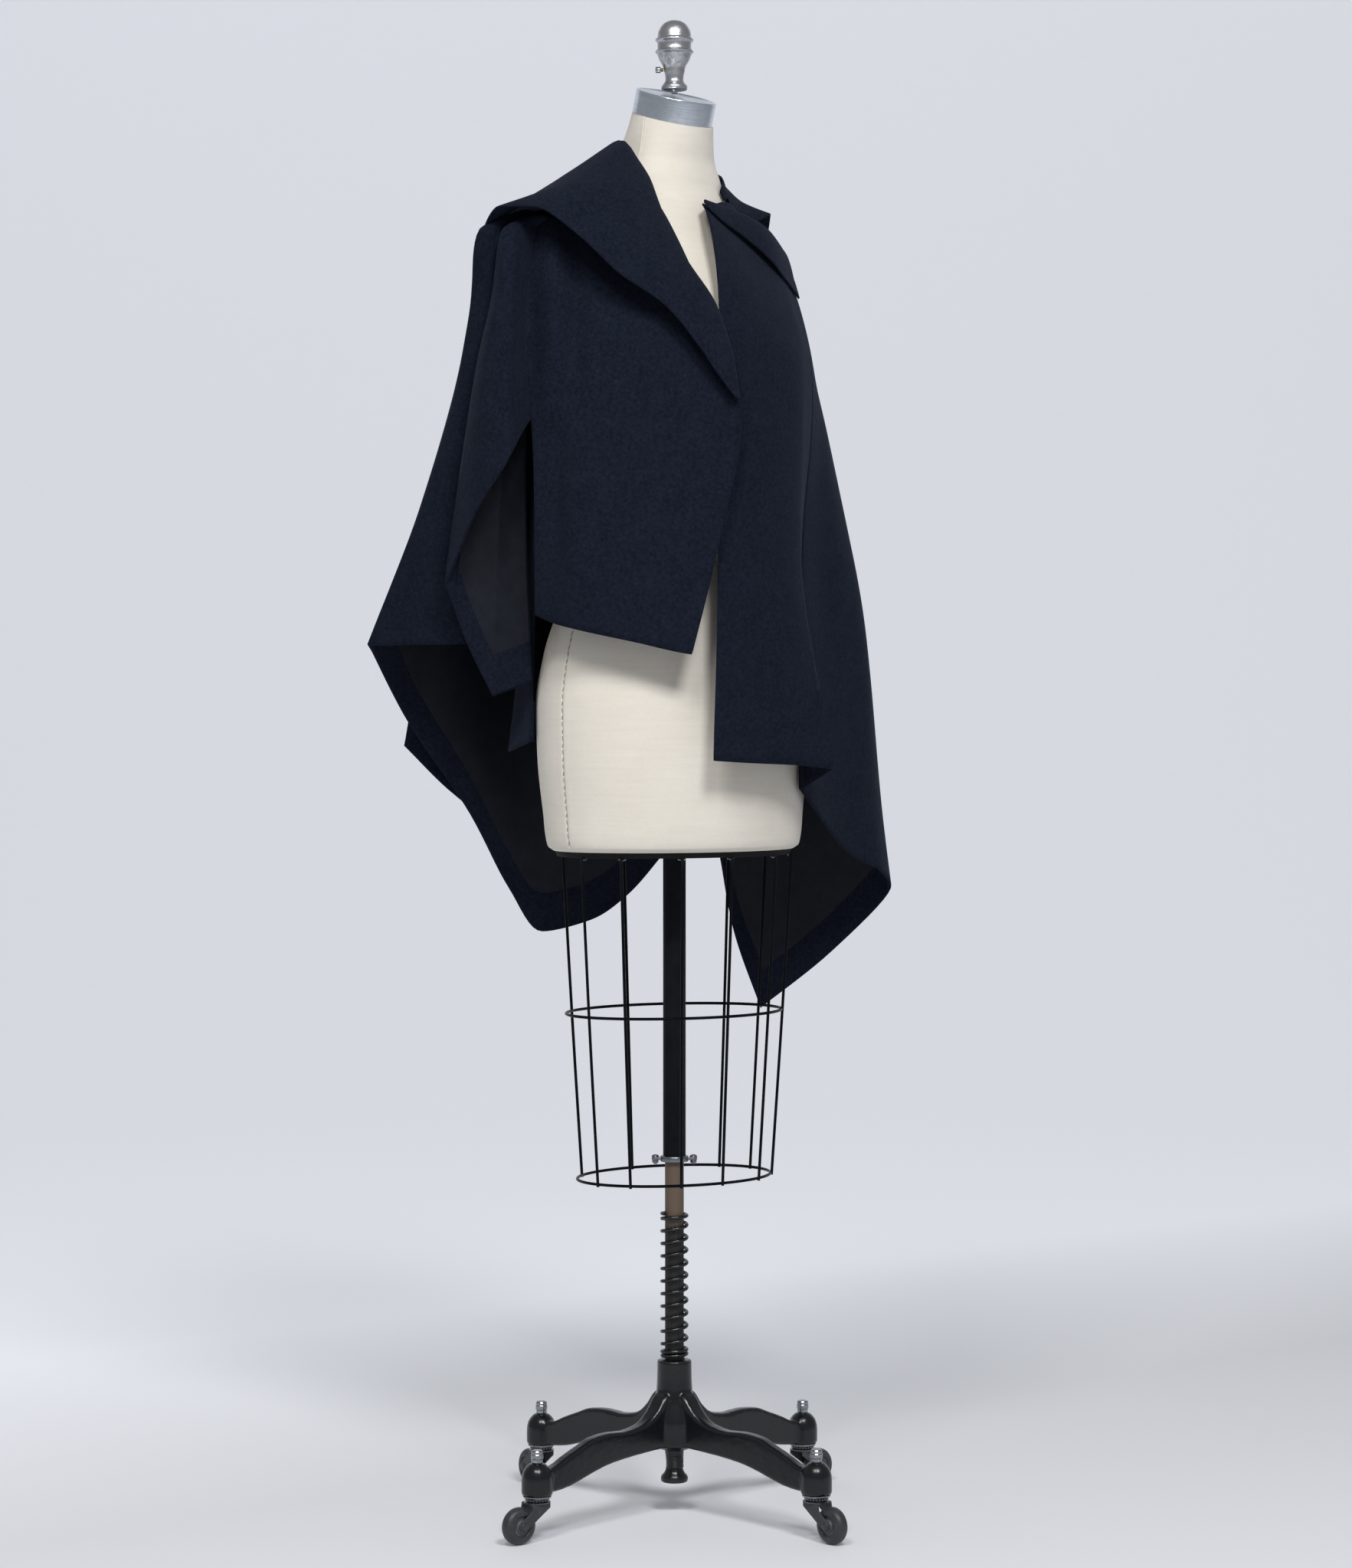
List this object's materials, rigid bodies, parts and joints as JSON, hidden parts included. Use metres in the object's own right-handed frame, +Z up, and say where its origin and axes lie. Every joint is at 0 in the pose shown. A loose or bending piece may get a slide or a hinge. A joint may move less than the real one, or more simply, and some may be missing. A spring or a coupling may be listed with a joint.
{
  "type": "asymmetric cape jacket on a limbless dress form and rolling stand",
  "caption": "Asymmetric wool jacket with a wide collar, a sleeve and a long cape side, on a padded limbless form over a wire cage, with a height-adjusting pole and a rolling cast base.",
  "frame": {"origin": "on the floor under the centre of the whole object's footprint", "axes": "+Z up, -Y the way the form's chest faces, +X the form's own left side"},
  "size_m": [0.5893, 0.5844, 1.7049],
  "materials": {
    "wool": "dark navy melton wool, matt and slightly hairy",
    "wool_facing": "the same navy wool as a facing",
    "lining": "thin dark brown-black lining, slightly shiny",
    "linen": "tightly pulled cream linen",
    "cap_metal": "brushed, softly reflecting",
    "brass": "worn",
    "cage_paint": "black gloss paint",
    "board_paint": "board painted black",
    "clamp_steel": "plated, slightly tarnished",
    "spring_steel": "dark spring steel with a sheen of grease",
    "pole_wood": "bare hardwood darkened by handling",
    "cast_iron": "black enamel with soft highlights",
    "stem_steel": "bright plated, worn",
    "fork_paint": "dark grey pressed steel",
    "tyre": "hard dark grey rubber"
  },
  "bodies": {
    "stand": {"cast_base": "cast_iron", "pole": "pole_wood", "pole_foot": "cast_iron", "spring": "spring_steel", "stem_front_right": "stem_steel", "stem_back_right": "stem_steel", "stem_back_left": "stem_steel", "stem_front_left": "stem_steel"},
    "form": {"dress_form": "linen", "neck_cap": "cap_metal", "finial": "cap_metal", "finial_screw": "brass", "bottom_board": "board_paint", "cage": "cage_paint", "tube": "cage_paint", "clamp": "clamp_steel", "clamp_bolt_left": "clamp_steel", "clamp_bolt_right": "clamp_steel", "right_front": "wool", "left_front": "wool", "back": "wool", "back_facing": "wool_facing", "right_sleeve": "wool", "right_sleeve_facing": "wool_facing", "right_sleeve_lining": "lining", "right_cape": "wool", "right_cape_facing": "wool_facing", "right_cape_lining": "lining", "left_cape": "wool", "left_cape_facing": "wool_facing", "left_cape_lining": "lining", "cape_overlay": "wool", "right_collar": "wool", "left_collar": "wool", "left_lapel": "wool"},
    "caster_front_right": {"fork_front_right": "fork_paint", "axle_front_right": "stem_steel"},
    "wheel_front_right_body": {"wheel_front_right": "tyre"},
    "caster_back_right": {"fork_back_right": "fork_paint", "axle_back_right": "stem_steel"},
    "wheel_back_right_body": {"wheel_back_right": "tyre"},
    "caster_back_left": {"fork_back_left": "fork_paint", "axle_back_left": "stem_steel"},
    "wheel_back_left_body": {"wheel_back_left": "tyre"},
    "caster_front_left": {"fork_front_left": "fork_paint", "axle_front_left": "stem_steel"},
    "wheel_front_left_body": {"wheel_front_left": "tyre"}
  },
  "joints": [
    {"name": "height_slide", "type": "slide", "parent": "stand", "child": "form", "axis": [0, 0, 1], "range_m": [-0.055, 0.15]},
    {"name": "swivel_front_right", "type": "hinge", "parent": "stand", "child": "caster_front_right", "pos_m": [-0.00313, -0.2456, 0.052], "axis": [0, 0, 1], "continuous": true},
    {"name": "roll_front_right", "type": "hinge", "parent": "caster_front_right", "child": "wheel_front_right_body", "pos_m": [-0.00313, -0.2716, 0.0208], "axis": [1, 0, 0], "continuous": true},
    {"name": "swivel_back_right", "type": "hinge", "parent": "stand", "child": "caster_back_right", "pos_m": [0.1916, -0.00513, 0.052], "axis": [0, 0, 1], "continuous": true},
    {"name": "roll_back_right", "type": "hinge", "parent": "caster_back_right", "child": "wheel_back_right_body", "pos_m": [0.2175, -0.00286, 0.0208], "axis": [-0.0872, 0.9962, 0], "continuous": true},
    {"name": "swivel_back_left", "type": "hinge", "parent": "stand", "child": "caster_back_left", "pos_m": [-0.04887, 0.1896, 0.052], "axis": [0, 0, 1], "continuous": true},
    {"name": "roll_back_left", "type": "hinge", "parent": "caster_back_left", "child": "wheel_back_left_body", "pos_m": [-0.0448, 0.21528, 0.0208], "axis": [-0.9877, 0.1564, 0], "continuous": true},
    {"name": "swivel_front_left", "type": "hinge", "parent": "stand", "child": "caster_front_left", "pos_m": [-0.2436, -0.05087, 0.052], "axis": [0, 0, 1], "continuous": true},
    {"name": "roll_front_left", "type": "hinge", "parent": "caster_front_left", "child": "wheel_front_left_body", "pos_m": [-0.2696, -0.05087, 0.0208], "axis": [0, -1, 0], "continuous": true}
  ]
}
